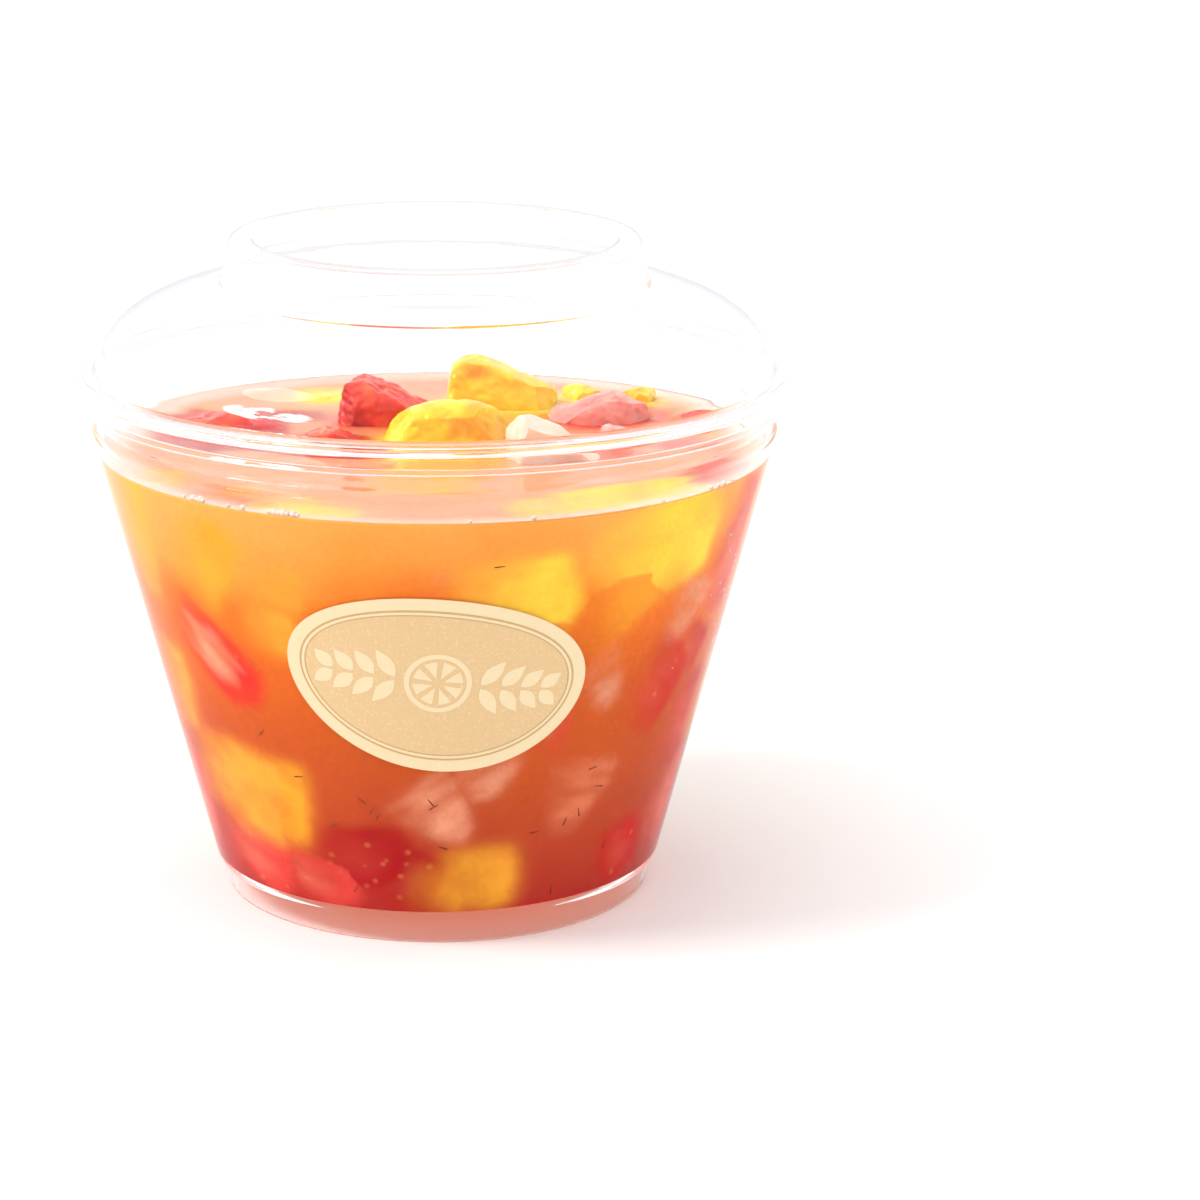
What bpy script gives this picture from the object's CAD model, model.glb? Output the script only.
"""Looks of the fruit cup: clear cup and lid, cloudy juice, diced fruit and an oval paper sticker."""
import math
import random

import bmesh
import bpy
import numpy as np
from mathutils import Matrix, Vector, noise
from mathutils.bvhtree import BVHTree


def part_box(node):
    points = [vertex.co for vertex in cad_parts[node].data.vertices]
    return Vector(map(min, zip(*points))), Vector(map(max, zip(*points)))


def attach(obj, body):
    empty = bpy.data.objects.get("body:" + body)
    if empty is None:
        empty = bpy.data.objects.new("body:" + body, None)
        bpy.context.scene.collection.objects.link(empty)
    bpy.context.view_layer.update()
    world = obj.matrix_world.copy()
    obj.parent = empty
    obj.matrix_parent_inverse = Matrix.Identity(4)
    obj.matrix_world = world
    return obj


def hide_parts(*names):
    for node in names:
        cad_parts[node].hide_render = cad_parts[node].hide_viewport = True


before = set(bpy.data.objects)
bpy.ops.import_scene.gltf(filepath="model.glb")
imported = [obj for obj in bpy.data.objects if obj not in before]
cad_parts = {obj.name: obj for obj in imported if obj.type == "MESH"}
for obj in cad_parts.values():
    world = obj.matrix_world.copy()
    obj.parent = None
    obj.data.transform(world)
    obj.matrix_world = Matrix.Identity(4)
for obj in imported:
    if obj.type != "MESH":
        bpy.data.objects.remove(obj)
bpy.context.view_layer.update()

# The camera: a long lens a little above the table, looking slightly down on the lid.
# It stands straight in front of the sticker and is turned so that the cup sits left of the middle.
CAMERA_PLACE = (0, -0.483, 0.178)
CAMERA_YAW = math.radians(-2.71)
CAMERA_DROP = math.radians(15.98)
CAMERA_ROLL = math.radians(0.5)
LENS = 107.46

camera_data = bpy.data.cameras.new("camera")
camera_data.lens = LENS
camera_data.sensor_width = 36
camera_data.clip_start = 0.01
camera = bpy.data.objects.new("camera", camera_data)
bpy.context.scene.collection.objects.link(camera)
camera_turn = Matrix.Rotation(CAMERA_YAW, 4, "Z") @ Matrix.Rotation(math.pi / 2 - CAMERA_DROP, 4, "X")
camera.matrix_world = Matrix.Translation(CAMERA_PLACE) @ camera_turn @ Matrix.Rotation(CAMERA_ROLL, 4, "Z")
bpy.context.scene.camera = camera

# The studio: a white table and an overexposed white surround, with a soft lamp high on the left and
# a window lower down that only reflections show. Reflections also see a darker zone in front, where
# the photographer stands.
LAMP_FROM = (-0.96, -0.26)
LAMP_HEIGHT = math.radians(50)
LAMP_STRENGTH = 1.7
LAMP_SPREAD = math.radians(20)
WINDOW_FROM = (-0.81, -0.48, 0.33)
WINDOW_REACH = 0.3
WINDOW_INNER = 0.225
WINDOW_SQUASH = (1, 1, 1.5)
WINDOW_BRIGHTNESS = 60
BLINDS_SCALE = 7
BLINDS_OPEN = (0.42, 0.55)
FLOOR_SIZE = 6.0
FLOOR_WHITE = 0.72
BACKGROUND_WHITE = 1.6
SKY_LIGHT = 1.5
TOWARDS_FRONT = (0, -0.97, 0.2)
FRONT_ZONE = (0.45, 0.85)
DARK_IN_REFLECTIONS = 0.2
REFLECTIONS_DIMMED = 0.6
DARK_IN_GLASS = 0.08
MOST_BOUNCES = 24


def link_nodes(tree, *links):
    """Joins nodes. Each link is a node, its output, the next node and its input."""
    for source, output, target, socket in links:
        tree.links.new(source.outputs[output], target.inputs[socket])


def add_node(tree, kind, values=(), **settings):
    """A new node with its settings, and with the values of its sockets by name or number."""
    node = tree.nodes.new(kind)
    for name, value in settings.items():
        setattr(node, name, value)
    for socket, value in dict(values).items():
        node.inputs[socket].default_value = value
    return node


def math_node(tree, operation, values=()):
    return add_node(tree, "ShaderNodeMath", values, operation=operation)


def vector_node(tree, operation, values=()):
    return add_node(tree, "ShaderNodeVectorMath", values, operation=operation)


def smooth_step(tree, start, end, most=1.0):
    """A node that goes smoothly from 0 at the start to the most at the end."""
    values = {"From Min": start, "From Max": end, "To Max": most}
    return add_node(tree, "ShaderNodeMapRange", values, interpolation_type="SMOOTHSTEP")


def mesh_of(bm, name):
    """The mesh of a finished bmesh, which is freed."""
    mesh = bpy.data.meshes.new(name)
    bm.to_mesh(mesh)
    bm.free()
    return mesh


def blank_material(name):
    """A material with only its output and a Principled shader, which are returned with it."""
    material = bpy.data.materials.new(name)
    material.use_nodes = True
    nodes = material.node_tree.nodes
    return material, nodes["Principled BSDF"], nodes["Material Output"]


world = bpy.data.worlds.new("studio")
bpy.context.scene.world = world
world.use_nodes = True
sky = world.node_tree
background = sky.nodes["Background"]
background.inputs["Color"].default_value = (1, 1, 1, 1)
direction = add_node(sky, "ShaderNodeTexCoord")
path = add_node(sky, "ShaderNodeLightPath")
lit_something = math_node(sky, "MINIMUM", {1: 1})
lighting = math_node(sky, "MULTIPLY_ADD", {1: SKY_LIGHT - BACKGROUND_WHITE, 2: BACKGROUND_WHITE})
towards_front = vector_node(sky, "DOT_PRODUCT", {1: TOWARDS_FRONT})
zone = smooth_step(sky, *FRONT_ZONE)
glossy_share = math_node(sky, "MULTIPLY", {1: DARK_IN_REFLECTIONS})
glass_share = math_node(sky, "MULTIPLY_ADD", {1: DARK_IN_GLASS})
darkening = math_node(sky, "MULTIPLY")
dimming = math_node(sky, "MULTIPLY_ADD", {1: REFLECTIONS_DIMMED})
brightness = math_node(sky, "SUBTRACT")
link_nodes(
    sky,
    (path, "Diffuse Depth", lit_something, 0),
    (lit_something, 0, lighting, 0),
    (direction, "Generated", towards_front, 0),
    (towards_front, "Value", zone, "Value"),
    (path, "Is Glossy Ray", glossy_share, 0),
    (path, "Is Transmission Ray", glass_share, 0),
    (glossy_share, 0, glass_share, 2),
    (glass_share, 0, darkening, 0),
    (zone, "Result", darkening, 1),
    (path, "Is Glossy Ray", dimming, 0),
    (darkening, 0, dimming, 2),
    (lighting, 0, brightness, 0),
    (dimming, 0, brightness, 1),
)
from_window = vector_node(sky, "SUBTRACT", {1: WINDOW_FROM})
flattened = vector_node(sky, "MULTIPLY", {1: WINDOW_SQUASH})
window_distance = vector_node(sky, "LENGTH")
window_shape = smooth_step(sky, WINDOW_REACH, WINDOW_INNER)
blinds = add_node(sky, "ShaderNodeTexNoise", {"Scale": BLINDS_SCALE, "Detail": 3})
open_parts = smooth_step(sky, *BLINDS_OPEN)
window_light = math_node(sky, "MULTIPLY")
before_diffuse = math_node(sky, "SUBTRACT", {0: 1})
in_reflections = math_node(sky, "MULTIPLY")
seen_window = math_node(sky, "MULTIPLY")
with_window = math_node(sky, "MULTIPLY_ADD", {1: WINDOW_BRIGHTNESS})
link_nodes(
    sky,
    (direction, "Generated", from_window, 0),
    (from_window, "Vector", flattened, 0),
    (flattened, "Vector", window_distance, 0),
    (window_distance, "Value", window_shape, "Value"),
    (direction, "Generated", blinds, "Vector"),
    (blinds, "Fac", open_parts, "Value"),
    (window_shape, "Result", window_light, 0),
    (open_parts, "Result", window_light, 1),
    (lit_something, 0, before_diffuse, 1),
    (path, "Is Glossy Ray", in_reflections, 0),
    (before_diffuse, 0, in_reflections, 1),
    (window_light, 0, seen_window, 0),
    (in_reflections, 0, seen_window, 1),
    (seen_window, 0, with_window, 0),
    (brightness, 0, with_window, 2),
    (with_window, 0, background, "Strength"),
)

lamp_data = bpy.data.lights.new("lamp", "SUN")
lamp_data.energy = LAMP_STRENGTH
lamp_data.angle = LAMP_SPREAD
lamp = bpy.data.objects.new("lamp", lamp_data)
bpy.context.scene.collection.objects.link(lamp)
lamp_from = Vector((*LAMP_FROM, 0)).normalized() * math.cos(LAMP_HEIGHT)
lamp_from.z = math.sin(LAMP_HEIGHT)
lamp.rotation_euler = lamp_from.to_track_quat("Z", "Y").to_euler()
lamp.visible_glossy = False

floor_bm = bmesh.new()
bmesh.ops.create_grid(floor_bm, x_segments=1, y_segments=1, size=FLOOR_SIZE / 2)
floor_mesh = mesh_of(floor_bm, "floor")
floor = bpy.data.objects.new("floor", floor_mesh)
bpy.context.scene.collection.objects.link(floor)
floor_material, floor_shader, _ = blank_material("white_table")
floor_shader.inputs["Base Color"].default_value = (FLOOR_WHITE, FLOOR_WHITE, FLOOR_WHITE, 1)
floor_shader.inputs["Roughness"].default_value = 0.9
floor_shader.inputs["Specular IOR Level"].default_value = 0.1
floor_mesh.materials.append(floor_material)

bpy.context.scene.view_settings.view_transform = "Standard"
bpy.context.scene.cycles.max_bounces = MOST_BOUNCES
bpy.context.scene.cycles.transmission_bounces = MOST_BOUNCES
bpy.context.scene.cycles.glossy_bounces = MOST_BOUNCES
bpy.context.scene.cycles.transparent_max_bounces = MOST_BOUNCES

# The cup: one thin forming of clear PET, with a hollow foot, a tapered body, a small shoulder
# and a rolled rim. It is formed in one piece, so every corner has a small round.
MM = 0.001
TURN_STEPS = 256
ROUND_STEPS = 6
cup_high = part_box("cup")[1]
RIM_RADIUS = cup_high.x
RIM_TOP = cup_high.z
RIM_HEIGHT = 2.1 * MM
WALL = 0.5 * MM
FOOT_RADIUS = 29.9 * MM
FOOT_HEIGHT = 3.5 * MM
FOOT_STEP = 0.9 * MM
FOOT_RING = 1.1 * MM
BODY_BOTTOM_RADIUS = 31.4 * MM
BODY_BOTTOM = 4.5 * MM
BODY_TOP_RADIUS = 47.2 * MM
BODY_TOP = 65.6 * MM
BAND_RADIUS = 46.1 * MM
BAND_BOTTOM = 66.8 * MM
FLOOR_TOP = 5.1 * MM
FLOOR_FILLET = 2.2 * MM
MERGE = 0.005 * MM
PLASTIC_WAVES = 120
EDGE_ON = (0.72, 0.98)
TRAPPED_AFTER = 12

WALL_SLOPE = (BODY_TOP_RADIUS - BODY_BOTTOM_RADIUS) / (BODY_TOP - BODY_BOTTOM)
SLANT = math.hypot(1, WALL_SLOPE)


def body_radius(height):
    """Outer radius of the tapered body at a height above the table."""
    return BODY_BOTTOM_RADIUS + WALL_SLOPE * (height - BODY_BOTTOM)


def rounded(corners):
    """Points of an outline whose corners (radius, height, reach) are rounded over their reach."""
    points = []
    for index, (radius, height, reach) in enumerate(corners):
        corner = Vector((radius, height))
        if reach == 0:
            points.append(corner)
            continue
        before = Vector(corners[index - 1][:2]) - corner
        after = Vector(corners[index + 1][:2]) - corner
        first = corner + before.normalized() * min(reach, before.length * 0.48)
        last = corner + after.normalized() * min(reach, after.length * 0.48)
        for step in range(ROUND_STEPS + 1):
            share = step / ROUND_STEPS
            points.append(first.lerp(corner, share).lerp(corner.lerp(last, share), share))
    return points


def add_piece(name, mesh, material):
    """Puts a finished mesh in the scene as a piece of the cup."""
    obj = bpy.data.objects.new(name, mesh)
    mesh.materials.append(material)
    bpy.context.scene.collection.objects.link(obj)
    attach(obj, "root")
    return obj


def turned_mesh(name, profile, steps):
    """A closed section that starts and ends on the axis, spun round Z."""
    bm = bmesh.new()
    verts = [bm.verts.new((radius, 0, height)) for radius, height in profile]
    edges = [bm.edges.new(pair) for pair in zip(verts, verts[1:])]
    bmesh.ops.spin(bm, geom=verts + edges, cent=(0, 0, 0), axis=(0, 0, 1), angle=math.tau,
                   steps=steps, use_merge=True)
    bmesh.ops.remove_doubles(bm, verts=bm.verts[:], dist=MERGE)
    bmesh.ops.recalc_face_normals(bm, faces=bm.faces[:])
    mesh = mesh_of(bm, name)
    mesh.shade_smooth()
    return mesh


def new_group(name, inputs, outputs):
    """A shader node group with named sockets, returned with its input and output nodes."""
    group = bpy.data.node_groups.new(name, "ShaderNodeTree")
    for way, sockets in (("INPUT", inputs), ("OUTPUT", outputs)):
        for socket, kind in sockets.items():
            group.interface.new_socket(socket, in_out=way, socket_type="NodeSocket" + kind)
    return group, group.nodes.new("NodeGroupInput"), group.nodes.new("NodeGroupOutput")


ripple, ripple_in, ripple_out = new_group("plastic_ripple", {"Scale": "Float"}, {"Normal": "Vector"})
ripple_place = add_node(ripple, "ShaderNodeTexCoord")
waves = add_node(ripple, "ShaderNodeTexNoise", {"Detail": 1})
wave_bump = add_node(ripple, "ShaderNodeBump", {"Strength": 0.04, "Distance": 0.6 * MM})
link_nodes(
    ripple,
    (ripple_place, "Object", waves, "Vector"),
    (ripple_in, "Scale", waves, "Scale"),
    (waves, "Fac", wave_bump, "Height"),
    (wave_bump, "Normal", ripple_out, "Normal"),
)


def clear_plastic(name, tint, edge_tint, bend):
    """Clear formed sheet: smooth, faintly wavy, tinted where seen edge on, and no bar to the lamp."""
    material, shader, output = blank_material(name)
    tree = material.node_tree
    shader.inputs["Roughness"].default_value = 0.01
    shader.inputs["IOR"].default_value = bend
    shader.inputs["Specular IOR Level"].default_value = 0.3
    shader.inputs["Transmission Weight"].default_value = 1
    wavy = add_node(tree, "ShaderNodeGroup", node_tree=ripple)
    wavy.inputs["Scale"].default_value = PLASTIC_WAVES
    facing = add_node(tree, "ShaderNodeLayerWeight", {"Blend": 0.5})
    edge_on = smooth_step(tree, *EDGE_ON)
    edge_colour = add_node(tree, "ShaderNodeMix", {"A": (*tint, 1), "B": (*edge_tint, 1)}, data_type="RGBA")
    lamp_through = add_node(tree, "ShaderNodeBsdfTransparent", {"Color": (0.97, 0.97, 0.97, 1)})
    light_path = add_node(tree, "ShaderNodeLightPath")
    trapped = math_node(tree, "GREATER_THAN", {1: TRAPPED_AFTER})
    let_out = math_node(tree, "MAXIMUM")
    mix = add_node(tree, "ShaderNodeMixShader")
    link_nodes(
        tree,
        (wavy, "Normal", shader, "Normal"),
        (facing, "Facing", edge_on, "Value"),
        (edge_on, "Result", edge_colour, "Factor"),
        (edge_colour, "Result", shader, "Base Color"),
        (light_path, "Ray Depth", trapped, 0),
        (light_path, "Is Shadow Ray", let_out, 0),
        (trapped, 0, let_out, 1),
        (let_out, 0, mix, "Fac"),
        (shader, "BSDF", mix, 1),
        (lamp_through, "BSDF", mix, 2),
        (mix, "Shader", output, "Surface"),
    )
    return material


wall_across = WALL * SLANT
cup_corners = [
    (0, FLOOR_TOP, 0),
    (body_radius(FLOOR_TOP) - wall_across, FLOOR_TOP, FLOOR_FILLET),
    (BODY_TOP_RADIUS - wall_across, BODY_TOP, 0.4 * MM),
    (BAND_RADIUS - WALL, BAND_BOTTOM + WALL / 2, 0.4 * MM),
    (BAND_RADIUS - WALL, RIM_TOP, 0.8 * MM),
    (RIM_RADIUS, RIM_TOP, 0.9 * MM),
    (RIM_RADIUS, RIM_TOP - RIM_HEIGHT, 0.2 * MM),
    (RIM_RADIUS - WALL, RIM_TOP - RIM_HEIGHT, 0.2 * MM),
    (RIM_RADIUS - WALL, RIM_TOP - WALL, 0.5 * MM),
    (BAND_RADIUS, RIM_TOP - WALL, 0.5 * MM),
    (BAND_RADIUS, BAND_BOTTOM, 0.4 * MM),
    (BODY_TOP_RADIUS, BODY_TOP, 0.45 * MM),
    (BODY_BOTTOM_RADIUS, BODY_BOTTOM, 0.4 * MM),
    (FOOT_RADIUS + FOOT_STEP, FOOT_HEIGHT, 0.35 * MM),
    (FOOT_RADIUS, 0, 0.3 * MM),
    (FOOT_RADIUS - FOOT_RING, 0, 0.25 * MM),
    (FOOT_RADIUS + FOOT_STEP - FOOT_RING, FOOT_HEIGHT, 0.3 * MM),
    (FOOT_RADIUS - FOOT_RING, FLOOR_TOP - WALL, 0.4 * MM),
    (0, FLOOR_TOP - WALL, 0),
]
cup_plastic = clear_plastic("cup_plastic", (0.99, 0.99, 0.99), (0.8, 0.79, 0.88), 1.17)
cup = add_piece("clear_cup", turned_mesh("clear_cup", rounded(cup_corners), TURN_STEPS),
                cup_plastic)
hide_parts("cup")

# The lid: a second clear forming, pressed over the rim. Its skirt has a bead where the flange turns
# down, and the dome carries a raised round puck with a slightly sunk top.
lid_low, lid_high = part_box("lid")
LID_RADIUS = lid_high.x
SKIRT_BOTTOM = lid_low.z
PUCK_TOP = lid_high.z
LID_WALL = 0.4 * MM
DOME_BOTTOM = 73.6 * MM
DOME_TOP = 84.6 * MM
DOME_RADIUS = 46.7 * MM
DOME_STEPS = 24
PUCK_RADIUS = 28.9 * MM
PUCK_DRAFT = 0.5 * MM
PUCK_RECESS = 0.5 * MM
PUCK_RIM = 1.8 * MM
PUCK_FILLET = 1.4 * MM
PUCK_SIDE = 4.9 * MM
PUCK_STEP = 0.5 * MM
BEAD = 0.7 * MM
SKIRT_INSET = 0.4 * MM
SKIRT_FLARE = 0.25 * MM


def inset(points, distance):
    """The same line moved to its inner side, for an outer line that runs from the axis outwards."""
    moved = []
    for index, point in enumerate(points):
        along = points[min(index + 1, len(points) - 1)] - points[max(index - 1, 0)]
        inward = Vector((along.y, -along.x)).normalized()
        moved.append(Vector((max(point.x + distance * inward.x, 0), point.y + distance * inward.y)))
    return moved


recess_radius = PUCK_RADIUS - PUCK_DRAFT - PUCK_FILLET - PUCK_RIM
puck_corners = [
    (0, PUCK_TOP - PUCK_RECESS, 0),
    (recess_radius - PUCK_RECESS, PUCK_TOP - PUCK_RECESS, 0.4 * MM),
    (recess_radius, PUCK_TOP, 0.5 * MM),
    (PUCK_RADIUS - PUCK_DRAFT, PUCK_TOP, PUCK_FILLET),
    (PUCK_RADIUS, PUCK_TOP - PUCK_SIDE, 0.3 * MM),
    (PUCK_RADIUS + PUCK_STEP, PUCK_TOP - PUCK_SIDE - PUCK_STEP, 0.3 * MM),
    (PUCK_RADIUS + PUCK_STEP, DOME_TOP, 0.5 * MM),
]
dome_centre = PUCK_RADIUS - PUCK_STEP
dome = []
for step in range(DOME_STEPS + 1):
    angle = math.radians(78 - (78 - 4) * step / DOME_STEPS)
    dome.append((dome_centre + (DOME_RADIUS - dome_centre) * math.cos(angle),
                 DOME_BOTTOM + (DOME_TOP - DOME_BOTTOM) * math.sin(angle)))
lid_outer = rounded(puck_corners + [(*dome[0], 0)]) + [Vector(point) for point in dome[1:]]
flange_top = DOME_BOTTOM - 0.2 * MM
skirt_radius = LID_RADIUS - SKIRT_INSET
skirt_corners = [
    (*lid_outer[-1], 0),
    (DOME_RADIUS + 0.1 * MM, flange_top, 0.3 * MM),
    (LID_RADIUS - 2 * BEAD, flange_top, 0.2 * MM),
    (LID_RADIUS - BEAD, DOME_BOTTOM + 0.1 * MM, 0.5 * MM),
    (LID_RADIUS, DOME_BOTTOM - BEAD, 0.6 * MM),
    (skirt_radius, DOME_BOTTOM - 2 * BEAD, 0.3 * MM),
    (skirt_radius, SKIRT_BOTTOM + BEAD, 0.3 * MM),
    (skirt_radius + SKIRT_FLARE, SKIRT_BOTTOM, 0.12 * MM),
    (skirt_radius - LID_WALL, SKIRT_BOTTOM, 0.12 * MM),
    (skirt_radius - LID_WALL, flange_top - LID_WALL, 0.4 * MM),
    (DOME_RADIUS - LID_WALL / 2, flange_top - LID_WALL, 0.2 * MM),
    (*inset(lid_outer, LID_WALL)[-1], 0),
]
lid_line = lid_outer + rounded(skirt_corners)[1:-1] + list(reversed(inset(lid_outer, LID_WALL)))
lid_plastic = clear_plastic("lid_plastic", (0.99, 0.99, 0.995), (0.42, 0.41, 0.54), 1.3)
lid = add_piece("clear_lid", turned_mesh("clear_lid", lid_line, TURN_STEPS), lid_plastic)
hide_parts("lid")

# The cut fruit that stands out of the juice. Each is its solid's own shape, cut finer and roughened,
# and wet: mango with long fibres, strawberry with a red skin and a paler heart, and glassy pear.
PIECE_SUBDIVISIONS = 3
CUTS_IN_PIECE = 8
CUT_AT = (0.84, 0.94)
FRUIT_TYPES = {"mango": "mango", "peach": "mango", "strawberry": "strawberry", "pear": "pear"}
ROUGHNESS_OF_CUT = {"mango": 0.2 * MM, "strawberry": 0.34 * MM, "pear": 0.14 * MM}
FIBRE_TURN = (0.3, 0.5, 0.4)


def finer_copy(node):
    """A merged copy of a node's mesh with more, smoother faces."""
    bm = bmesh.new()
    bm.from_mesh(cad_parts[node].data)
    bmesh.ops.remove_doubles(bm, verts=bm.verts[:], dist=MERGE)
    bmesh.ops.join_triangles(bm, faces=bm.faces[:], angle_face_threshold=0.7, angle_shape_threshold=0.7)
    bmesh.ops.subdivide_edges(bm, edges=bm.edges[:], cuts=1, use_grid_fill=True)
    cage = bpy.data.objects.new(node + "_cage", mesh_of(bm, node + "_cage"))
    bpy.context.scene.collection.objects.link(cage)
    smooth = cage.modifiers.new("smooth", "SUBSURF")
    smooth.levels = PIECE_SUBDIVISIONS
    smooth.render_levels = PIECE_SUBDIVISIONS
    finer = bpy.data.meshes.new_from_object(cage.evaluated_get(bpy.context.evaluated_depsgraph_get()))
    bpy.data.objects.remove(cage)
    return finer


def knife_cut(bm, seed):
    """Flattens the piece beyond a few planes, as the cuts of a knife leave it."""
    draw = random.Random(seed * 7 + 3)
    middle = sum((vert.co for vert in bm.verts), Vector()) / len(bm.verts)
    for _ in range(CUTS_IN_PIECE):
        side = Vector((draw.uniform(-1, 1), draw.uniform(-1, 1), draw.uniform(-0.2, 1))).normalized()
        limit = max(side.dot(vert.co - middle) for vert in bm.verts) * draw.uniform(*CUT_AT)
        for vert in bm.verts:
            over = side.dot(vert.co - middle) - limit
            if over > 0:
                vert.co -= side * over


def roughen(mesh, kind, seed):
    """Moves the surface in and out a little, in lumps, pits and fine grain."""
    depth = ROUGHNESS_OF_CUT[kind]
    shift = Vector((seed * 3.7, seed * 1.9, seed * 5.3))
    bm = bmesh.new()
    bm.from_mesh(mesh)
    knife_cut(bm, seed)
    bm.normal_update()
    moves = []
    for vert in bm.verts:
        place = vert.co / MM
        lumps = noise.noise(place * 0.28 + shift) * 1.6
        grain = noise.noise(place * 1.1 + shift) * 0.6
        pits = -max(0, noise.noise(place * 0.7 - shift) - 0.25) * 1.5
        moves.append(vert.normal * depth * (lumps + grain + pits))
    for vert, move in zip(bm.verts, moves):
        vert.co += move
    bm.to_mesh(mesh)
    bm.free()


def colour(red, green, blue):
    """A screen colour, 0 to 255, as the linear colour that a shader takes."""
    return tuple(((part / 255 + 0.055) / 1.055) ** 2.4 if part > 10 else part / 255 / 12.92
                 for part in (red, green, blue))


def set_ramp(ramp, stops):
    """Gives a colour ramp its stops (place, colour)."""
    elements = ramp.color_ramp.elements
    while len(elements) < len(stops):
        elements.new(1.0)
    for element, (place, shade) in zip(elements, stops):
        element.position = place
        element.color = (*shade, 1)


flesh_group, flesh_in, flesh_out = new_group(
    "cut_flesh", {"Fibre Stretch": "Vector"}, {"Shade": "Float", "Fibres": "Float"})
flesh_place = add_node(flesh_group, "ShaderNodeTexCoord")
stretch = add_node(flesh_group, "ShaderNodeMapping", {"Rotation": FIBRE_TURN})
patches = add_node(flesh_group, "ShaderNodeTexNoise", {"Scale": 150, "Detail": 3})
fibres = add_node(flesh_group, "ShaderNodeTexNoise", {"Scale": 300, "Detail": 4})
patch_share = math_node(flesh_group, "MULTIPLY_ADD", {1: 0.9, 2: -0.245})
fibre_share = math_node(flesh_group, "MULTIPLY_ADD", {1: 0.6})
link_nodes(
    flesh_group,
    (flesh_place, "Object", patches, "Vector"),
    (flesh_place, "Object", stretch, "Vector"),
    (flesh_in, "Fibre Stretch", stretch, "Scale"),
    (stretch, "Vector", fibres, "Vector"),
    (patches, "Fac", patch_share, 0),
    (fibres, "Fac", fibre_share, 0),
    (patch_share, 0, fibre_share, 2),
    (fibre_share, 0, flesh_out, "Shade"),
    (fibres, "Fac", flesh_out, "Fibres"),
)


def wet_flesh(name, stops, fibre_stretch, fibre_depth, glow, glow_reach, roughness):
    """Wet cut flesh: two shades in soft patches, fine fibres, and light that spreads under the skin."""
    material, shader, _ = blank_material(name)
    tree = material.node_tree
    pattern = add_node(tree, "ShaderNodeGroup", node_tree=flesh_group)
    pattern.inputs["Fibre Stretch"].default_value = fibre_stretch
    ramp = add_node(tree, "ShaderNodeValToRGB")
    set_ramp(ramp, stops)
    bump = add_node(tree, "ShaderNodeBump", {"Strength": fibre_depth, "Distance": 0.4 * MM})
    shader.inputs["Roughness"].default_value = roughness
    shader.inputs["IOR"].default_value = 1.38
    shader.inputs["Subsurface Weight"].default_value = glow
    shader.inputs["Subsurface Radius"].default_value = glow_reach
    shader.inputs["Subsurface Scale"].default_value = 2 * MM
    shader.inputs["Coat Weight"].default_value = 0.3
    shader.inputs["Coat Roughness"].default_value = 0.08
    link_nodes(
        tree,
        (pattern, "Shade", ramp, "Fac"),
        (ramp, "Color", shader, "Base Color"),
        (pattern, "Fibres", bump, "Height"),
        (bump, "Normal", shader, "Normal"),
    )
    return material


flesh = {
    "mango": wet_flesh(
        "mango_flesh",
        [(0.25, colour(228, 146, 16)), (0.5, colour(242, 192, 24)), (0.75, colour(248, 220, 62))],
        (1.0, 0.3, 1.0), 0.7, 0.35, (1.0, 0.5, 0.12), 0.28),
    "strawberry": wet_flesh(
        "strawberry_flesh",
        [(0.25, colour(168, 18, 12)), (0.55, colour(222, 54, 26)), (0.8, colour(242, 124, 74))],
        (1.0, 1.0, 0.5), 0.5, 0.3, (1.0, 0.25, 0.15), 0.22),
    "pear": wet_flesh(
        "pear_flesh",
        [(0.2, colour(232, 178, 150)), (0.5, colour(240, 200, 178)), (0.8, colour(244, 218, 204))],
        (1.0, 1.0, 0.6), 0.25, 0.5, (1.0, 0.6, 0.4), 0.25),
}
pink_flesh = wet_flesh(
    "pink_strawberry_flesh",
    [(0.25, colour(214, 98, 88)), (0.55, colour(236, 140, 126)), (0.8, colour(246, 182, 168))],
    (1.0, 1.0, 0.5), 0.4, 0.4, (1.0, 0.3, 0.2), 0.25)
PINK_PIECES = ("strawberry_right", "strawberry_small")
surface_nodes = [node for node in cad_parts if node.split("_")[0] in FRUIT_TYPES]
surface_meshes = []
for seed, node in enumerate(sorted(surface_nodes)):
    kind = FRUIT_TYPES[node.split("_")[0]]
    piece_mesh = finer_copy(node)
    roughen(piece_mesh, kind, seed)
    piece_mesh.shade_smooth()
    piece_mesh.materials.clear()
    piece = add_piece("cut_" + node, piece_mesh, pink_flesh if node in PINK_PIECES else flesh[kind])
    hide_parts(node)
    surface_meshes.append((kind, piece_mesh))

# The sunk fruit: the same cut pieces under the juice, most of them resting against the wall.
# They show through the cloudy juice, sharper and brighter the nearer they lie to the wall.
YELLOW_MANGO = colour(244, 206, 66)
ORANGE_MANGO = colour(240, 162, 54)
LIGHT_ORANGE_MANGO = colour(238, 160, 44)
DEEP_MANGO = colour(238, 162, 48)
RED_BERRY = colour(202, 18, 20)
DARK_BERRY = colour(172, 18, 26)
HALVED_BERRY = colour(222, 44, 40)
PINK_BERRY = colour(220, 68, 60)
BERRY_HEART = colour(236, 126, 98)
PALE_PEAR = colour(230, 152, 118)
DIM_PEAR = colour(226, 128, 92)
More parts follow.
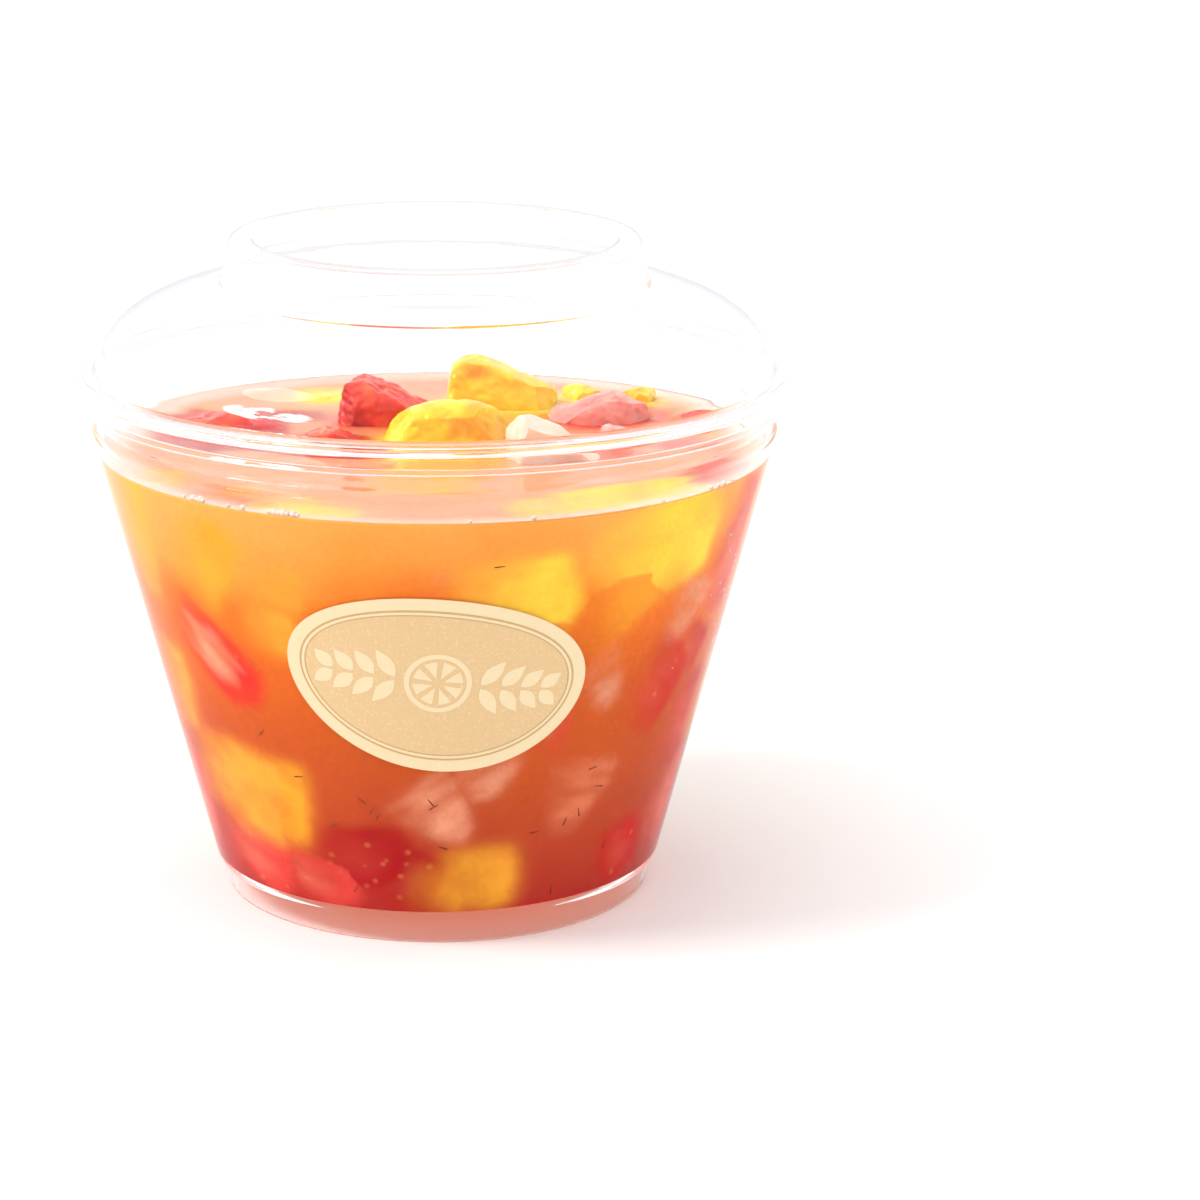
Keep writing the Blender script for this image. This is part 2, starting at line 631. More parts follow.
# Each shade's fruit, colour, and how pale the heart of a strawberry of that shade is
SUNK_COLOURS = {
    "yellow": ("mango", YELLOW_MANGO, 0), "light_orange": ("mango", LIGHT_ORANGE_MANGO, 0),
    "orange": ("mango", ORANGE_MANGO, 0), "deep": ("mango", DEEP_MANGO, 0),
    "red": ("strawberry", RED_BERRY, 0.25), "halved": ("strawberry", HALVED_BERRY, 1.5),
    "dark": ("strawberry", DARK_BERRY, 0.1), "pink": ("strawberry", PINK_BERRY, 0.5),
    "pear": ("pear", PALE_PEAR, 0), "dim": ("pear", DIM_PEAR, 0),
}
# Shade, angle round the wall from the front, height, (across, tall, deep), turn in the wall and gap
# to the wall. Each lies a little askew, with its right side nearer to the wall.
LEAN = math.radians(-13)
FRONT_PIECES = (
    ("orange", -62, 55, (5, 19, 6), 12, 0.3), ("light_orange", -43, 54, (8, 13, 8), 32, 0.6),
    ("orange", -28.8, 51.6, (8, 4.5, 6), 0, 1.3), ("orange", -30.5, 45.9, (6, 5, 5), 10, 0.8),
    ("halved", -46.5, 40.8, (16, 7.5, 6), 42, 0.0), ("orange", -48.5, 20.5, (17, 13, 9), 10, 0.4),
    ("light_orange", -35.5, 20, (7, 12, 8), 6, 0.3), ("pink", -50, 10.5, (15, 8, 7), 20, 0.5),
    ("dark", -18, 12.8, (13, 8, 7), -6, 0.0), ("dark", -7, 10.6, (9, 8, 6), 20, 0.2),
    ("pink", -33, 9.0, (14, 6, 6), 14, 0.7),
    ("pear", 0.5, 20.5, (11, 9, 5), -38, 0.05), ("pear", 9.5, 25.2, (13, 5, 5), -24, 0.3),
    ("deep", 10.0, 10.1, (8.6, 8, 7), 0, 0.3), ("deep", 1.5, 8.6, (6, 5, 5), 12, 0.9),
    ("dim", 31.5, 20.8, (11, 11, 6), 12, 0.5), ("pear", 33.5, 37.8, (8, 8, 6), -28, 0.75),
    ("pear", 52.5, 45.5, (9, 9, 5), 24, 0.55), ("yellow", 14.3, 51.7, (15, 9, 8), -6, 0.7),
    ("orange", 20, 45.5, (5, 8, 6), 4, 0.8), ("yellow", 41, 56.2, (20, 12, 9), -8, 0.2),
    ("light_orange", 33, 49.5, (14, 10, 7), -30, 1.5), ("pink", 66, 52.5, (8, 20, 7), 8, 0.2),
    ("red", 58, 39.6, (9, 6, 6), 30, 0.7), ("red", 48.5, 35.5, (11, 13, 7), 34, 0.7),
    ("red", 62, 28, (12, 15, 7), 20, 0.8), ("red", 49.5, 10.4, (7, 8, 6), -14, 0.1),
    ("pink", 66, 15, (9, 14, 6), 10, 0.7), ("dim", -6, 53, (16, 7, 6), 4, 2.4),
    ("pink", 20, 33, (9, 14, 7), 4, 1.6), ("pink", -74, 16, (9, 14, 6), 6, 0.8),
    ("light_orange", -66, 33, (9, 12, 6), 8, 1.2),
)
# Shade, place on the surface, depth of its top under it, (long, wide, tall) and turn seen from above
NEAR_SURFACE = (
    ("pink", (-27.4, -32.1), 0.8, (12, 6, 5), -38), ("yellow", (-17.8, -37.6), 0.6, (15, 6, 5), -22),
    ("yellow", (29, -31), 0.7, (13, 7, 5), 42), ("red", (37.0, -19.5), 0.6, (9, 6, 5), 62),
    ("orange", (1, -8.5), 0.8, (17, 7, 5), 6), ("yellow", (14.5, -37.0), 1.1, (9, 5, 4), 20),
    ("dark", (-30, 6), 0.35, (19, 12, 6), -6), ("dark", (-15, 0), 0.35, (12, 8, 6), -10),
    ("red", (-36, 15), 0.4, (9, 7, 5), 36), ("dark", (-22, 16), 0.5, (12, 7, 5), 8),
    ("pink", (23, -6), 0.8, (15, 9, 6), 14), ("pink", (35, 4), 0.7, (10, 9, 6), 60),
    ("pink", (30, 18), 0.8, (12, 8, 6), -30), ("yellow", (-14, 33), 0.6, (10, 7, 6), 12),
    ("orange", (-2, -23), 0.6, (13, 8, 5), 14), ("orange", (10, 13), 0.6, (14, 8, 6), 10),
)
JUICE_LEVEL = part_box("juice")[1].z
JUICE_IN_WALL = 0.25 * MM
JUICE_CLEARANCE = 0.15 * MM
SURFACE_CLEARANCE = 0.35 * MM
BACK_START = 80
BACK_END = 262
BACK_ROWS = (10, 20.5, 31, 42, 53)
BACK_SHADES = ("yellow", "orange", "deep", "orange", "red", "pink", "dark", "pear", "dim", "yellow")
SUNK_SEED = 11


def back_pieces():
    """More pieces for the side that the photograph hides, with the same mix and spacing."""
    draw = random.Random(SUNK_SEED)
    pieces = []
    for height in BACK_ROWS:
        angle = BACK_START + draw.uniform(0, 12)
        while angle < BACK_END:
            size = (draw.uniform(7, 17), draw.uniform(6, 13), draw.uniform(5, 8))
            pieces.append((draw.choice(BACK_SHADES), angle, height + draw.uniform(-3, 3), size,
                           draw.uniform(-40, 40), draw.choice((0.1, 0.4, 0.8, 1.6))))
            angle += math.degrees(size[0] / 40) + draw.uniform(4, 14)
    return pieces


def wall_frame(angle, height, depth):
    """The turn and place of something against the wall: X across, Y inwards and Z up the slope."""
    turn = math.radians(angle)
    outward = Vector((math.sin(turn), -math.cos(turn), 0))
    up = (Vector((0, 0, 1)) + outward * WALL_SLOPE).normalized()
    across = Vector((math.cos(turn), math.sin(turn), 0))
    inward = up.cross(across)
    rotation = Matrix((across, inward, up)).transposed().to_4x4()
    place = outward * body_radius(height) + Vector((0, 0, height)) + inward * depth
    return Matrix.Translation(place) @ rotation


def sunk_block(target, size, place, pointed, seed):
    """Adds a rounded block, pointed towards its lower end if asked, and returns its number of faces."""
    block = bmesh.new()
    bmesh.ops.create_cube(block, size=2)
    bmesh.ops.subdivide_edges(block, edges=block.edges[:], cuts=5, use_grid_fill=True)
    for vert in block.verts:
        spot = vert.co.lerp(vert.co.normalized() * 1.15, 0.5)
        if pointed:
            spot.x *= 0.62 + 0.38 * spot.z
        spot += 0.1 * noise.noise_vector(spot * 1.2 + Vector((seed * 2.3, 0, 0)))
        vert.co = place @ Vector(spot[axis] * size[axis] * MM / 2 for axis in range(3))
    bmesh.ops.recalc_face_normals(block, faces=block.faces[:])
    count = len(block.faces)
    mesh = mesh_of(block, "block")
    target.from_mesh(mesh)
    bpy.data.meshes.remove(mesh)
    return count


def keep_in_juice(bm):
    """Moves what stands out of the juice's side, top or bottom back inside it."""
    for vert in bm.verts:
        vert.co.z = min(max(vert.co.z, FLOOR_TOP + JUICE_CLEARANCE), JUICE_LEVEL - SURFACE_CLEARANCE)
        most = body_radius(vert.co.z) - (JUICE_IN_WALL + JUICE_CLEARANCE) * SLANT
        out = math.hypot(vert.co.x, vert.co.y)
        if out > most:
            vert.co.x *= most / out
            vert.co.y *= most / out


sunk_blocks = []
for shade, angle, height, size, turn, gap in list(FRONT_PIECES) + back_pieces():
    depth = JUICE_IN_WALL + JUICE_CLEARANCE + (gap + size[2] / 2) * MM
    place = wall_frame(angle, height * MM, depth) @ Matrix.Rotation(LEAN, 4, "Z")
    place = place @ Matrix.Rotation(math.radians(turn), 4, "Y")
    sunk_blocks.append((shade, (size[0], size[2], size[1]), place))
for shade, spot, depth, size, turn in NEAR_SURFACE:
    place = Matrix.Translation((spot[0] * MM, spot[1] * MM, JUICE_LEVEL - (depth + size[2] / 2) * MM))
    sunk_blocks.append((shade, size, place @ Matrix.Rotation(math.radians(turn), 4, "Z")))
sunk_bms = {kind: bmesh.new() for kind in ("mango", "strawberry", "pear")}
sunk_faces = {kind: [] for kind in sunk_bms}
wall_trees = {}
for seed, (shade, size, place) in enumerate(sunk_blocks):
    if seed == len(sunk_blocks) - len(NEAR_SURFACE):
        for kind, bm in sunk_bms.items():
            keep_in_juice(bm)
            wall_trees[kind] = BVHTree.FromBMesh(bm)
    kind, tone, heart = SUNK_COLOURS[shade]
    count = sunk_block(sunk_bms[kind], size, place, kind == "pear", seed)
    sunk_faces[kind] += [(tone, heart, size, place.inverted())] * count
sunk_trees = {}
for kind, bm in sunk_bms.items():
    keep_in_juice(bm)
    sunk_trees[kind] = BVHTree.FromBMesh(bm)
    sunk_mesh = mesh_of(bm, "sunk_" + kind)
    sunk_mesh.shade_smooth()
    add_piece("sunk_" + kind, sunk_mesh, flesh[kind])

# The juice: thick and cloudy, orange at the top and redder where the strawberries lie. It fills the
# cup to its level, wets the wall, and climbs a little up the wall and the fruit.
JUICE_STEPS = 480
SIDE_RINGS = 112
TOP_RINGS = 76
BOTTOM_RINGS = 10
WALL_CLIMB = 0.5 * MM
WALL_CLIMB_REACH = 1.0 * MM
FRUIT_CLIMB = 0.35 * MM
FRUIT_CLIMB_REACH = 0.6 * MM
SEE_INTO_JUICE = {"mango": 1.7 * MM, "strawberry": 1.3 * MM, "pear": 1.2 * MM}
LOOK_REACH = 7 * MM
EDGE_WANDER = 0.25 * MM
UNDER_SURFACE_SHADE = 0.85
SURFACE_SHADES = {"mango": YELLOW_MANGO, "strawberry": RED_BERRY, "pear": PALE_PEAR}
SEED_COLOUR = colour(232, 150, 84)
SEED_SPACING = 420
PALE_EDGE = colour(234, 202, 186)
PALE_EDGE_WIDTH = 6 * MM
SURFACE_SWELL = 0.12 * MM
UNDERSIDE_COLOUR = colour(240, 150, 124)

side_low = FLOOR_TOP + 0.4 * MM
side_reach = JUICE_IN_WALL * SLANT
juice_line = []
top_radius = body_radius(JUICE_LEVEL + WALL_CLIMB) - side_reach
for ring in range(TOP_RINGS):
    radius = top_radius * ring / TOP_RINGS
    climb = WALL_CLIMB * math.exp(-(top_radius - radius) / WALL_CLIMB_REACH)
    juice_line.append((radius, JUICE_LEVEL + climb))
for ring in range(SIDE_RINGS + 1):
    height = JUICE_LEVEL + WALL_CLIMB + (side_low - JUICE_LEVEL - WALL_CLIMB) * ring / SIDE_RINGS
    juice_line.append((body_radius(height) - side_reach, height))
bottom_radius = body_radius(side_low) - side_reach
juice_bottom = FLOOR_TOP - JUICE_IN_WALL
juice_line += rounded([
    (*juice_line[-1], 0),
    (body_radius(juice_bottom) - side_reach, juice_bottom, 0.5 * MM),
    (bottom_radius * (BOTTOM_RINGS - 1) / BOTTOM_RINGS, juice_bottom, 0),
])[1:]
for ring in range(BOTTOM_RINGS - 2, -1, -1):
    juice_line.append((bottom_radius * ring / BOTTOM_RINGS, juice_bottom))
juice_mesh = turned_mesh("fruit_juice", juice_line, JUICE_STEPS)

surface_trees = {}
for kind in SEE_INTO_JUICE:
    joined = bmesh.new()
    for fruit_kind, mesh in surface_meshes:
        if fruit_kind == kind:
            joined.from_mesh(mesh)
    surface_trees[kind] = BVHTree.FromBMesh(joined)
    joined.free()


def distance_to(tree, spot):
    """Distance to the nearest face, and that face's number."""
    near, _, face, distance = tree.find_nearest(spot, LOOK_REACH)
    if near is None:
        return LOOK_REACH, -1
    return distance, face


def shade_of(kind, face, spot):
    """Colour of a sunk piece at a face, and how much of it shows. A strawberry is paler in its heart."""
    tone, heart, size, to_piece = sunk_faces[kind][face]
    inside = to_piece @ spot / MM
    tone = Vector(tone) * (1 + 0.16 * noise.noise(spot / MM * 0.17))
    streak = noise.noise(Vector((inside.x * 0.2, inside.y * 0.2, inside.z * 0.6)))
    if kind == "strawberry":
        from_heart = math.hypot(inside.x / size[0], inside.z / size[2]) * 2
        paleness = heart * min(max(1.25 - from_heart * 1.35 + 0.5 * streak, 0.0), 1.0)
        tone = tone.lerp(Vector(BERRY_HEART), paleness)
    shown = 0.75 + 0.6 * streak if kind == "pear" else 1 + 0.12 * streak
    return tone, shown


vertex_count = len(juice_mesh.vertices)
fruit_amount = np.zeros(vertex_count)
fruit_colour = np.zeros((vertex_count, 3))
strawberry_amount = np.zeros(vertex_count)
for vert in juice_mesh.vertices:
    if vert.co.z <= juice_bottom + MERGE:
        continue
    wander = noise.noise_vector(vert.co / MM * 0.35) * EDGE_WANDER
    spot = vert.co + wander
    on_top = math.hypot(vert.co.x, vert.co.y) < top_radius - WALL_CLIMB and vert.co.z > JUICE_LEVEL - MERGE
    nearest_fruit = LOOK_REACH
    total = 0.0
    mixed = Vector((0, 0, 0))
    thickness = 0.88 + 0.22 * noise.noise(vert.co / MM * 0.3)
    for kind, reach in SEE_INTO_JUICE.items():
        distance, face = distance_to(sunk_trees[kind] if on_top else wall_trees[kind], spot)
        if face >= 0:
            tone, shown = shade_of(kind, face, spot)
            if on_top:
                tone = tone * UNDER_SURFACE_SHADE
            weight = min(thickness * shown * math.exp(-(distance / reach) ** 2), 1)
            mixed += weight * tone
            total += weight
            if kind == "strawberry":
                strawberry_amount[vert.index] = weight
        if on_top:
            distance, face = distance_to(surface_trees[kind], spot)
            nearest_fruit = min(nearest_fruit, distance)
            if face >= 0:
                weight = math.exp(-distance / reach)
                mixed += weight * Vector(SURFACE_SHADES[kind])
                total += weight
    if total > 0:
        fruit_colour[vert.index] = mixed / total
        fruit_amount[vert.index] = min(total, 1.0)
    if on_top:
        vert.co.z += FRUIT_CLIMB * math.exp(-nearest_fruit / FRUIT_CLIMB_REACH)
        vert.co.z += SURFACE_SWELL * noise.noise(vert.co / MM * 0.22)


def save_colour(mesh, name, values):
    attribute = mesh.attributes.new(name, "FLOAT_COLOR", "POINT")
    attribute.data.foreach_set("color", np.hstack([values, np.ones((len(values), 1))]).ravel())


def save_value(mesh, name, values):
    attribute = mesh.attributes.new(name, "FLOAT", "POINT")
    attribute.data.foreach_set("value", values)


save_colour(juice_mesh, "fruit_colour", fruit_colour)
save_value(juice_mesh, "fruit_amount", fruit_amount)
save_value(juice_mesh, "strawberry_amount", strawberry_amount)

depth_tree, _, depth_out = new_group("juice_depth", {}, {"Depth": "Float"})
depth_place = add_node(depth_tree, "ShaderNodeTexCoord")
split = add_node(depth_tree, "ShaderNodeSeparateXYZ")
clouds = add_node(depth_tree, "ShaderNodeTexNoise", {"Scale": 45, "Detail": 3})
height_share = add_node(depth_tree, "ShaderNodeMapRange", {"From Min": FLOOR_TOP, "From Max": JUICE_LEVEL})
sway = math_node(depth_tree, "MULTIPLY_ADD", {1: 0.3})
settle = math_node(depth_tree, "SUBTRACT", {1: 0.15})
link_nodes(
    depth_tree,
    (depth_place, "Object", split, "Vector"),
    (depth_place, "Object", clouds, "Vector"),
    (split, "Z", height_share, "Value"),
    (clouds, "Fac", sway, 0),
    (height_share, "Result", sway, 2),
    (sway, 0, settle, 0),
    (settle, 0, depth_out, "Depth"),
)

tint, tint_in, tint_out = new_group(
    "juice_tint", {"Juice": "Color", "Edge Paleness": "Float"}, {"Color": "Color"})
tint_place = add_node(tint, "ShaderNodeTexCoord")
fruit = add_node(tint, "ShaderNodeAttribute", attribute_name="fruit_colour")
amount = add_node(tint, "ShaderNodeAttribute", attribute_name="fruit_amount")
strawberry = add_node(tint, "ShaderNodeAttribute", attribute_name="strawberry_amount")
with_fruit = add_node(tint, "ShaderNodeMix", data_type="RGBA")
seed_spots = add_node(tint, "ShaderNodeTexVoronoi", {"Scale": SEED_SPACING})
seed_mask = smooth_step(tint, 0.24, 0.12, 0.3)
seed_share = math_node(tint, "MULTIPLY")
seeded = add_node(tint, "ShaderNodeMix", {"B": (*SEED_COLOUR, 1)}, data_type="RGBA")
flatten = add_node(tint, "ShaderNodeMapping", {"Scale": (1, 1, 0)})
out_from_axis = vector_node(tint, "LENGTH")
near_wall = smooth_step(tint, top_radius - PALE_EDGE_WIDTH, top_radius)
thin_edge = add_node(tint, "ShaderNodeMix", {"B": (*PALE_EDGE, 1)}, data_type="RGBA")
pulp = add_node(tint, "ShaderNodeTexNoise", {"Scale": 1500, "Detail": 2})
speckle = add_node(tint, "ShaderNodeMapRange",
                   {"From Min": 0.3, "From Max": 0.7, "To Min": 0.93, "To Max": 1.05})
grained = vector_node(tint, "SCALE")
link_nodes(
    tint,
    (tint_in, "Juice", with_fruit, "A"),
    (fruit, "Color", with_fruit, "B"),
    (amount, "Fac", with_fruit, "Factor"),
    (tint_place, "Object", seed_spots, "Vector"),
    (seed_spots, "Distance", seed_mask, "Value"),
    (seed_mask, "Result", seed_share, 0),
    (strawberry, "Fac", seed_share, 1),
    (seed_share, 0, seeded, "Factor"),
    (with_fruit, "Result", seeded, "A"),
    (tint_place, "Object", flatten, "Vector"),
    (flatten, "Vector", out_from_axis, 0),
    (out_from_axis, "Value", near_wall, "Value"),
    (tint_in, "Edge Paleness", near_wall, "To Max"),
    (near_wall, "Result", thin_edge, "Factor"),
    (seeded, "Result", thin_edge, "A"),
    (tint_place, "Object", pulp, "Vector"),
    (pulp, "Fac", speckle, "Value"),
    (thin_edge, "Result", grained, 0),
    (speckle, "Result", grained, "Scale"),
    (grained, "Vector", tint_out, "Color"),
)


def juice_material(name, roughness, specular, glow, depth_stops, edge_paleness):
    """Cloudy juice coloured by height, with what lies behind it showing through in its own colour."""
    material, shader, _ = blank_material(name)
    tree = material.node_tree
    depth_share = add_node(tree, "ShaderNodeGroup", node_tree=depth_tree)
    depth_colours = add_node(tree, "ShaderNodeValToRGB")
    set_ramp(depth_colours, depth_stops)
    tinted = add_node(tree, "ShaderNodeGroup", node_tree=tint)
    tinted.inputs["Edge Paleness"].default_value = edge_paleness
    shader.inputs["Roughness"].default_value = roughness
    shader.inputs["Specular IOR Level"].default_value = specular
    shader.inputs["IOR"].default_value = 1.34
    shader.inputs["Emission Strength"].default_value = glow
    link_nodes(
        tree,
        (depth_share, "Depth", depth_colours, "Fac"),
        (depth_colours, "Color", tinted, "Juice"),
        (tinted, "Color", shader, "Base Color"),
        (tinted, "Color", shader, "Emission Color"),
    )
    return material


juice_at_wall = juice_material("juice_at_wall", 0.5, 0.0, 0.25, [
    (0.0, colour(176, 42, 36)), (0.26, colour(188, 74, 38)), (0.5, colour(204, 90, 32)),
    (0.75, colour(230, 114, 34)), (0.88, colour(240, 150, 62)), (1.0, colour(244, 162, 78)),
], 0.0)
juice_surface = juice_material("juice_surface", 0.06, 0.25, 0.0, [
    (0.0, colour(206, 122, 82)), (0.8, colour(208, 134, 94)), (1.0, colour(210, 144, 104)),
], 0.9)
juice = add_piece("fruit_juice", juice_mesh, juice_at_wall)
juice_mesh.materials.append(juice_surface)
base_material, base_shader, _ = blank_material("juice_base")
base_shader.inputs["Base Color"].default_value = (*UNDERSIDE_COLOUR, 1)
base_shader.inputs["Emission Color"].default_value = (*UNDERSIDE_COLOUR, 1)
base_shader.inputs["Emission Strength"].default_value = 0.65
juice_mesh.materials.append(base_material)
for face in juice_mesh.polygons:
    if face.normal.z > 0.5:
        face.material_index = 1
    elif face.normal.z < -0.9:
        face.material_index = 2
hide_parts("juice")

# The sticker: an oval of coated paper, cream at the edge, with a thin double line round a speckled
# gold field and a tone-on-tone ornament of a fruit slice between two sprigs of leaves.
STICKER_WIDTH = 40.0 * MM
STICKER_HEIGHT = 26.0 * MM
STICKER_CENTRE = 39.6 * MM
STICKER_TILT = math.radians(-7)
STICKER_LIFT = 1.0 * MM
STICKER_GAP = 0.04 * MM
STICKER_THICKNESS = 0.12 * MM
PRINT_THICKNESS = 0.03 * MM
STRIP = 1.2 * MM
OVAL_SIDES = 160
FIELD_INSET = 1.8 * MM
LINE_INSETS = ((1.75 * MM, 2.0 * MM), (2.45 * MM, 2.6 * MM))
PALE_LINE_INSETS = (2.05 * MM, 2.4 * MM)
SLICE_RADIUS = 4.4 * MM
SLICE_PEEL = 0.7 * MM
SLICE_SEGMENTS = 8
SEGMENT_RADIUS = 3.25 * MM
SEGMENT_CORNER = 0.7 * MM
SEGMENT_GAP = math.radians(7)
LEAF_COUNT = 4
LEAF_LENGTH = 4.6 * MM
LEAF_WIDTH = 2.0 * MM
LEAF_LEAN = 0.95
ORNAMENT_CENTRE = Vector((0, 0.5 * MM, 0))


def oval_points(inset_by):
    """The sticker's outline, a little flatter at the top, moved in by a distance."""
    points = []
    for step in range(OVAL_SIDES):
        angle = math.tau * step / OVAL_SIDES
        across = (STICKER_WIDTH / 2 - inset_by) * math.cos(angle)
        up = (STICKER_HEIGHT / 2 - inset_by) * math.sin(angle)
        points.append(Vector((across, up + STICKER_LIFT * math.cos(angle) ** 2, 0)))
    return points


def wrap_on_wall(bm, stand_off, thickness):
    """Cuts flat paper into narrow strips, thickens it and wraps it round the front of the body."""
    cuts = int(STICKER_WIDTH / STRIP)
    for index in range(-cuts // 2, cuts // 2 + 1):
        bmesh.ops.bisect_plane(bm, geom=bm.verts[:] + bm.edges[:] + bm.faces[:],
                               plane_co=(index * STRIP, 0, 0), plane_no=(1, 0, 0))
    thick = bmesh.ops.extrude_face_region(bm, geom=bm.faces[:])
    front = {item for item in thick["geom"] if isinstance(item, bmesh.types.BMVert)}
    turn = Matrix.Rotation(STICKER_TILT, 2)
    for vert in bm.verts:
        flat = turn @ Vector((vert.co.x, vert.co.y))
        height = STICKER_CENTRE + flat.y / SLANT
        out = stand_off + (thickness if vert in front else 0)
        radius = body_radius(height) + out * SLANT
        angle = flat.x / body_radius(STICKER_CENTRE)
        vert.co = Vector((radius * math.sin(angle), -radius * math.cos(angle), height))
    bmesh.ops.recalc_face_normals(bm, faces=bm.faces[:])


def flat_shape(bm, outline, hole=()):
    """Adds a flat filled outline, or the strip between an outline and an equal hole in it."""
    outer = [bm.verts.new(point) for point in outline]
    if not hole:
        bm.faces.new(outer)
        return
    inner = [bm.verts.new(point) for point in hole]
    loops = [bm.edges.new((loop[index], loop[(index + 1) % len(loop)]))
             for loop in (outer, inner) for index in range(len(loop))]
    bmesh.ops.bridge_loops(bm, edges=loops)


def leaf_points(root, angle, length, width):
    """A pointed leaf: two equal curves from its root to its tip."""
    points = []
    for step in range(16):
        share = step / 8
        along = share if share <= 1 else 2 - share
        side = math.sin(math.pi * along ** 0.85) * width / 2 * (1 if share <= 1 else -1)
        spot = Vector((along * length, side, 0))
        points.append(root + Matrix.Rotation(angle, 3, "Z") @ spot)
    return points


def circle_points(centre, radius, sides=64):
    points = []
    for step in range(sides):
        angle = math.tau * step / sides
        points.append(centre + radius * Vector((math.cos(angle), math.sin(angle), 0)))
    return points


def wedge_points(centre, radius, start, end, corner):
    """A segment of a fruit slice, between two angles, kept off the middle and its neighbours."""
    middle = (start + end) / 2
    tip = centre + corner * Vector((math.cos(middle), math.sin(middle), 0))
    points = [tip]
    for step in range(9):
        angle = start + (end - start) * step / 8
        points.append(centre + radius * Vector((math.cos(angle), math.sin(angle), 0)))
    return points


paper, _, paper_out = new_group("printed_paper", {}, {"Speckle": "Float", "Normal": "Vector"})
paper_place = add_node(paper, "ShaderNodeTexCoord")
paper_speckle = add_node(paper, "ShaderNodeTexNoise", {"Scale": 2600, "Detail": 2})
grain = add_node(paper, "ShaderNodeTexNoise", {"Scale": 900})
tooth = add_node(paper, "ShaderNodeBump", {"Strength": 0.12, "Distance": 0.1 * MM})
link_nodes(
    paper,
    (paper_place, "Object", paper_speckle, "Vector"),
    (paper_place, "Object", grain, "Vector"),
    (grain, "Fac", tooth, "Height"),
    (paper_speckle, "Fac", paper_out, "Speckle"),
    (tooth, "Normal", paper_out, "Normal"),
)


def paper_material(name, base, fleck, fleck_share, roughness):
    """Coated paper with a fine printed speckle and a little tooth."""
    material, shader, _ = blank_material(name)
    tree = material.node_tree
    print_pattern = add_node(tree, "ShaderNodeGroup", node_tree=paper)
    ramp = add_node(tree, "ShaderNodeValToRGB")
    set_ramp(ramp, [(0.3, base), (fleck_share, base), (fleck_share + 0.12, fleck)])
    shader.inputs["Roughness"].default_value = roughness
    shader.inputs["Specular IOR Level"].default_value = 0.3
    link_nodes(
        tree,
        (print_pattern, "Speckle", ramp, "Fac"),
        (ramp, "Color", shader, "Base Color"),
        (print_pattern, "Normal", shader, "Normal"),
    )
    return material


def finish_print(name, bm, stand_off, thickness, material):
    wrap_on_wall(bm, stand_off, thickness)
    return add_piece(name, mesh_of(bm, name), material)


cream = paper_material("cream_paper", colour(218, 197, 158), colour(224, 204, 168), 0.62, 0.55)
gold = paper_material("gold_print", colour(206, 174, 128), colour(214, 184, 140), 0.56, 0.45)
shadow_gold = paper_material("dark_gold_line", colour(186, 152, 104), colour(194, 162, 114), 0.6, 0.45)

paper_bm = bmesh.new()
flat_shape(paper_bm, oval_points(0))
sticker = finish_print("paper_sticker", paper_bm, STICKER_GAP, STICKER_THICKNESS, cream)
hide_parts("sticker")
print_height = STICKER_GAP + STICKER_THICKNESS - PRINT_THICKNESS / 2

field_bm = bmesh.new()
flat_shape(field_bm, oval_points(FIELD_INSET))
finish_print("sticker_field", field_bm, print_height, PRINT_THICKNESS, gold)
second_height = print_height + PRINT_THICKNESS / 2
line_bm = bmesh.new()
for outer, inner in LINE_INSETS:
    flat_shape(line_bm, oval_points(outer), oval_points(inner))
finish_print("sticker_lines", line_bm, second_height, PRINT_THICKNESS, shadow_gold)


def sprig_leaves(side):
    """Leaves in pairs along a stem that runs outwards from the slice."""
    outlines = []
    for index in range(LEAF_COUNT):
        share = index / (LEAF_COUNT - 1)
        root_x = SLICE_RADIUS + (1.2 + 2.7 * index) * MM
        for lean in (LEAF_LEAN, -LEAF_LEAN):
            root = ORNAMENT_CENTRE + Vector((side * root_x, math.copysign(0.25 * MM, lean), 0))
            angle = lean * (1 - 0.25 * share)
            turn = angle if side > 0 else math.pi - angle
            outlines.append(leaf_points(root, turn, LEAF_LENGTH * (1 - 0.28 * share), LEAF_WIDTH))
    return outlines


ornament_bm = bmesh.new()
flat_shape(ornament_bm, oval_points(PALE_LINE_INSETS[0]), oval_points(PALE_LINE_INSETS[1]))
for side in (-1, 1):
    for outline in sprig_leaves(side):
        flat_shape(ornament_bm, outline)
flat_shape(ornament_bm, circle_points(ORNAMENT_CENTRE, SLICE_RADIUS),
           circle_points(ORNAMENT_CENTRE, SLICE_RADIUS - SLICE_PEEL))
for index in range(SLICE_SEGMENTS):
    start = math.tau * index / SLICE_SEGMENTS + SEGMENT_GAP
    end = math.tau * (index + 1) / SLICE_SEGMENTS - SEGMENT_GAP
    flat_shape(ornament_bm, wedge_points(ORNAMENT_CENTRE, SEGMENT_RADIUS, start, end, SEGMENT_CORNER))
finish_print("sticker_ornament", ornament_bm, second_height, PRINT_THICKNESS, cream)

